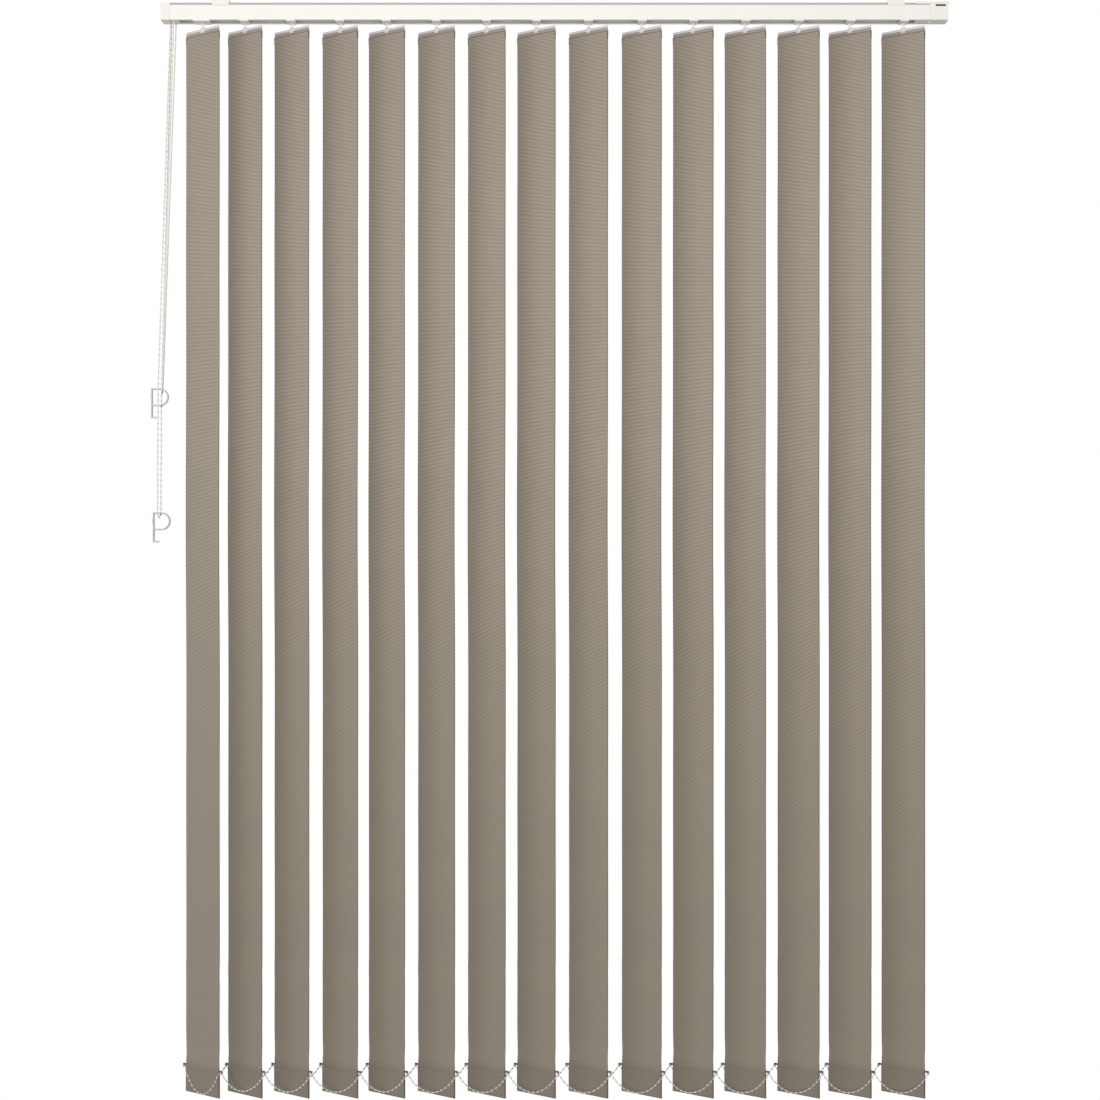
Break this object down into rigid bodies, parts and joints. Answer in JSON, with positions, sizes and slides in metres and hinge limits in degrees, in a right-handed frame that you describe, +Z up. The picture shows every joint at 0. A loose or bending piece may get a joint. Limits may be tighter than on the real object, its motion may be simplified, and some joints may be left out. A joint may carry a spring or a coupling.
{
  "type": "vertical blind",
  "caption": "Vertical fabric blind: taupe slats on sliding carriers under a white headrail, tilted by a bead chain, drawn aside by a cord, weights linked by chains.",
  "frame": {"origin": "on the ceiling plane, midway between the screw holes of the two ceiling clips", "axes": "+Z up, +X along the rail to the viewer's right, +Y away from the viewer, towards the window"},
  "size_m": [1.3155, 0.0765, 1.804],
  "materials": {
    "rail_enamel": "smooth white enamel on aluminium",
    "white_plastic": "moulded white plastic",
    "hook_plastic": "moulded white and clear plastic",
    "slat_fabric": "taupe ribbed blind fabric, stiffened",
    "chain_plastic": "white plastic beads on a thread",
    "cord_braid": "white braided polyester",
    "rod_metal": "plain drawn aluminium"
  },
  "bodies": {
    "rail": {"headrail": "rail_enamel", "control_end_cap": "white_plastic", "return_end_cap": "white_plastic", "left_ceiling_clip": "white_plastic", "right_ceiling_clip": "white_plastic", "rail_cord": "cord_braid", "draw_cord": "cord_braid", "control_chain": "chain_plastic", "cord_wall_clip": "white_plastic", "chain_wall_clip": "white_plastic", "carrier_15": "white_plastic"},
    "rod": {"tilt_rod": "rod_metal", "chain_wheel": "white_plastic"},
    "pulley": {"return_pulley": "white_plastic"},
    "front_chain": {"front_chain": "chain_plastic"},
    "back_chain": {"back_chain": "chain_plastic"},
    "carrier_01": {"carrier_01": "white_plastic"},
    "slat_01": {"hook_01": "hook_plastic", "slat_01": "slat_fabric"},
    "carrier_02": {"carrier_02": "white_plastic"},
    "slat_02": {"hook_02": "hook_plastic", "slat_02": "slat_fabric"},
    "carrier_03": {"carrier_03": "white_plastic"},
    "slat_03": {"hook_03": "hook_plastic", "slat_03": "slat_fabric"},
    "carrier_04": {"carrier_04": "white_plastic"},
    "slat_04": {"hook_04": "hook_plastic", "slat_04": "slat_fabric"},
    "carrier_05": {"carrier_05": "white_plastic"},
    "slat_05": {"hook_05": "hook_plastic", "slat_05": "slat_fabric"},
    "carrier_06": {"carrier_06": "white_plastic"},
    "slat_06": {"hook_06": "hook_plastic", "slat_06": "slat_fabric"},
    "carrier_07": {"carrier_07": "white_plastic"},
    "slat_07": {"hook_07": "hook_plastic", "slat_07": "slat_fabric"},
    "carrier_08": {"carrier_08": "white_plastic"},
    "slat_08": {"hook_08": "hook_plastic", "slat_08": "slat_fabric"},
    "carrier_09": {"carrier_09": "white_plastic"},
    "slat_09": {"hook_09": "hook_plastic", "slat_09": "slat_fabric"},
    "carrier_10": {"carrier_10": "white_plastic"},
    "slat_10": {"hook_10": "hook_plastic", "slat_10": "slat_fabric"},
    "carrier_11": {"carrier_11": "white_plastic"},
    "slat_11": {"hook_11": "hook_plastic", "slat_11": "slat_fabric"},
    "carrier_12": {"carrier_12": "white_plastic"},
    "slat_12": {"hook_12": "hook_plastic", "slat_12": "slat_fabric"},
    "carrier_13": {"carrier_13": "white_plastic"},
    "slat_13": {"hook_13": "hook_plastic", "slat_13": "slat_fabric"},
    "carrier_14": {"carrier_14": "white_plastic"},
    "slat_14": {"hook_14": "hook_plastic", "slat_14": "slat_fabric"},
    "slat_15": {"hook_15": "hook_plastic", "slat_15": "slat_fabric"}
  },
  "joints": [
    {"name": "carrier_01_slide", "type": "slide", "parent": "rail", "child": "carrier_01", "axis": [1, 0, 0], "range_m": [0, 0.72], "deforming": ["front_chain", "back_chain"]},
    {"name": "slat_01_tilt", "type": "hinge", "parent": "carrier_01", "child": "slat_01", "pos_m": [-0.5875, 0, 0], "axis": [0, 0, 1], "range_deg": [-125, 35], "deforming": ["front_chain", "back_chain", "control_chain"]},
    {"name": "carrier_02_slide", "type": "slide", "parent": "rail", "child": "carrier_02", "axis": [1, 0, 0], "range_m": [0, 0.67654]},
    {"name": "slat_02_tilt", "type": "hinge", "parent": "carrier_02", "child": "slat_02", "pos_m": [-0.5175, 0, 0], "axis": [0, 0, 1], "range_deg": [-125, 35]},
    {"name": "carrier_03_slide", "type": "slide", "parent": "rail", "child": "carrier_03", "axis": [1, 0, 0], "range_m": [0, 0.62862]},
    {"name": "slat_03_tilt", "type": "hinge", "parent": "carrier_03", "child": "slat_03", "pos_m": [-0.4405, 0, 0], "axis": [0, 0, 1], "range_deg": [-125, 35]},
    {"name": "carrier_04_slide", "type": "slide", "parent": "rail", "child": "carrier_04", "axis": [1, 0, 0], "range_m": [0, 0.57884]},
    {"name": "slat_04_tilt", "type": "hinge", "parent": "carrier_04", "child": "slat_04", "pos_m": [-0.3605, 0, 0], "axis": [0, 0, 1], "range_deg": [-125, 35]},
    {"name": "carrier_05_slide", "type": "slide", "parent": "rail", "child": "carrier_05", "axis": [1, 0, 0], "range_m": [0, 0.53092]},
    {"name": "slat_05_tilt", "type": "hinge", "parent": "carrier_05", "child": "slat_05", "pos_m": [-0.2835, 0, 0], "axis": [0, 0, 1], "range_deg": [-125, 35]},
    {"name": "carrier_06_slide", "type": "slide", "parent": "rail", "child": "carrier_06", "axis": [1, 0, 0], "range_m": [0, 0.47989]},
    {"name": "slat_06_tilt", "type": "hinge", "parent": "carrier_06", "child": "slat_06", "pos_m": [-0.2015, 0, 0], "axis": [0, 0, 1], "range_deg": [-125, 35]},
    {"name": "carrier_07_slide", "type": "slide", "parent": "rail", "child": "carrier_07", "axis": [1, 0, 0], "range_m": [0, 0.42824]},
    {"name": "slat_07_tilt", "type": "hinge", "parent": "carrier_07", "child": "slat_07", "pos_m": [-0.1185, 0, 0], "axis": [0, 0, 1], "range_deg": [-125, 35]},
    {"name": "carrier_08_slide", "type": "slide", "parent": "rail", "child": "carrier_08", "axis": [1, 0, 0], "range_m": [0, 0.37721]},
    {"name": "slat_08_tilt", "type": "hinge", "parent": "carrier_08", "child": "slat_08", "pos_m": [-0.0365, 0, 0], "axis": [0, 0, 1], "range_deg": [-125, 35]},
    {"name": "carrier_09_slide", "type": "slide", "parent": "rail", "child": "carrier_09", "axis": [1, 0, 0], "range_m": [0, 0.3237]},
    {"name": "slat_09_tilt", "type": "hinge", "parent": "carrier_09", "child": "slat_09", "pos_m": [0.0495, 0, 0], "axis": [0, 0, 1], "range_deg": [-125, 35]},
    {"name": "carrier_10_slide", "type": "slide", "parent": "rail", "child": "carrier_10", "axis": [1, 0, 0], "range_m": [0, 0.26893]},
    {"name": "slat_10_tilt", "type": "hinge", "parent": "carrier_10", "child": "slat_10", "pos_m": [0.1375, 0, 0], "axis": [0, 0, 1], "range_deg": [-125, 35]},
    {"name": "carrier_11_slide", "type": "slide", "parent": "rail", "child": "carrier_11", "axis": [1, 0, 0], "range_m": [0, 0.21604]},
    {"name": "slat_11_tilt", "type": "hinge", "parent": "carrier_11", "child": "slat_11", "pos_m": [0.2225, 0, 0], "axis": [0, 0, 1], "range_deg": [-125, 35]},
    {"name": "carrier_12_slide", "type": "slide", "parent": "rail", "child": "carrier_12", "axis": [1, 0, 0], "range_m": [0, 0.16252]},
    {"name": "slat_12_tilt", "type": "hinge", "parent": "carrier_12", "child": "slat_12", "pos_m": [0.3085, 0, 0], "axis": [0, 0, 1], "range_deg": [-125, 35]},
    {"name": "carrier_13_slide", "type": "slide", "parent": "rail", "child": "carrier_13", "axis": [1, 0, 0], "range_m": [0, 0.10776]},
    {"name": "slat_13_tilt", "type": "hinge", "parent": "carrier_13", "child": "slat_13", "pos_m": [0.3965, 0, 0], "axis": [0, 0, 1], "range_deg": [-125, 35]},
    {"name": "carrier_14_slide", "type": "slide", "parent": "rail", "child": "carrier_14", "axis": [1, 0, 0], "range_m": [0, 0.05486]},
    {"name": "slat_14_tilt", "type": "hinge", "parent": "carrier_14", "child": "slat_14", "pos_m": [0.4815, 0, 0], "axis": [0, 0, 1], "range_deg": [-125, 35]},
    {"name": "slat_15_tilt", "type": "hinge", "parent": "rail", "child": "slat_15", "pos_m": [0.5695, 0, 0], "axis": [0, 0, 1], "range_deg": [-125, 35]},
    {"name": "rod_turn", "type": "hinge", "parent": "rail", "child": "rod", "pos_m": [0, 0.0074, -0.0219], "axis": [1, 0, 0], "range_deg": [-750, 210]},
    {"name": "pulley_turn", "type": "hinge", "parent": "rail", "child": "pulley", "pos_m": [0.612, 0, -0.026], "axis": [0, 0, 1], "range_deg": [0, 2950]},
    {"name": "front_chain_swing", "type": "hinge", "parent": "slat_15", "child": "front_chain", "pos_m": [0.60556, -0.03606, -1.761], "axis": [0, 0, 1], "range_deg": [-35, 125]},
    {"name": "back_chain_swing", "type": "hinge", "parent": "slat_15", "child": "back_chain", "pos_m": [0.53344, 0.03606, -1.761], "axis": [0, 0, 1], "range_deg": [-35, 125]}
  ],
  "couplings": [
    {"joint": "carrier_02_slide", "follows": "carrier_01_slide", "ratio": 0.9395},
    {"joint": "slat_02_tilt", "follows": "slat_01_tilt", "ratio": 1},
    {"joint": "carrier_03_slide", "follows": "carrier_01_slide", "ratio": 0.87295},
    {"joint": "slat_03_tilt", "follows": "slat_01_tilt", "ratio": 1},
    {"joint": "carrier_04_slide", "follows": "carrier_01_slide", "ratio": 0.8038},
    {"joint": "slat_04_tilt", "follows": "slat_01_tilt", "ratio": 1},
    {"joint": "carrier_05_slide", "follows": "carrier_01_slide", "ratio": 0.73725},
    {"joint": "slat_05_tilt", "follows": "slat_01_tilt", "ratio": 1},
    {"joint": "carrier_06_slide", "follows": "carrier_01_slide", "ratio": 0.66638},
    {"joint": "slat_06_tilt", "follows": "slat_01_tilt", "ratio": 1},
    {"joint": "carrier_07_slide", "follows": "carrier_01_slide", "ratio": 0.59464},
    {"joint": "slat_07_tilt", "follows": "slat_01_tilt", "ratio": 1},
    {"joint": "carrier_08_slide", "follows": "carrier_01_slide", "ratio": 0.52377},
    {"joint": "slat_08_tilt", "follows": "slat_01_tilt", "ratio": 1},
    {"joint": "carrier_09_slide", "follows": "carrier_01_slide", "ratio": 0.44944},
    {"joint": "slat_09_tilt", "follows": "slat_01_tilt", "ratio": 1},
    {"joint": "carrier_10_slide", "follows": "carrier_01_slide", "ratio": 0.37338},
    {"joint": "slat_10_tilt", "follows": "slat_01_tilt", "ratio": 1},
    {"joint": "carrier_11_slide", "follows": "carrier_01_slide", "ratio": 0.29991},
    {"joint": "slat_11_tilt", "follows": "slat_01_tilt", "ratio": 1},
    {"joint": "carrier_12_slide", "follows": "carrier_01_slide", "ratio": 0.22558},
    {"joint": "slat_12_tilt", "follows": "slat_01_tilt", "ratio": 1},
    {"joint": "carrier_13_slide", "follows": "carrier_01_slide", "ratio": 0.14952},
    {"joint": "slat_13_tilt", "follows": "slat_01_tilt", "ratio": 1},
    {"joint": "carrier_14_slide", "follows": "carrier_01_slide", "ratio": 0.076059},
    {"joint": "slat_14_tilt", "follows": "slat_01_tilt", "ratio": 1},
    {"joint": "slat_15_tilt", "follows": "slat_01_tilt", "ratio": 1},
    {"joint": "rod_turn", "follows": "slat_01_tilt", "ratio": 6},
    {"joint": "pulley_turn", "follows": "carrier_01_slide", "rad_per_m": 71.429},
    {"joint": "front_chain_swing", "follows": "slat_01_tilt", "ratio": -1},
    {"joint": "back_chain_swing", "follows": "slat_01_tilt", "ratio": -1}
  ]
}
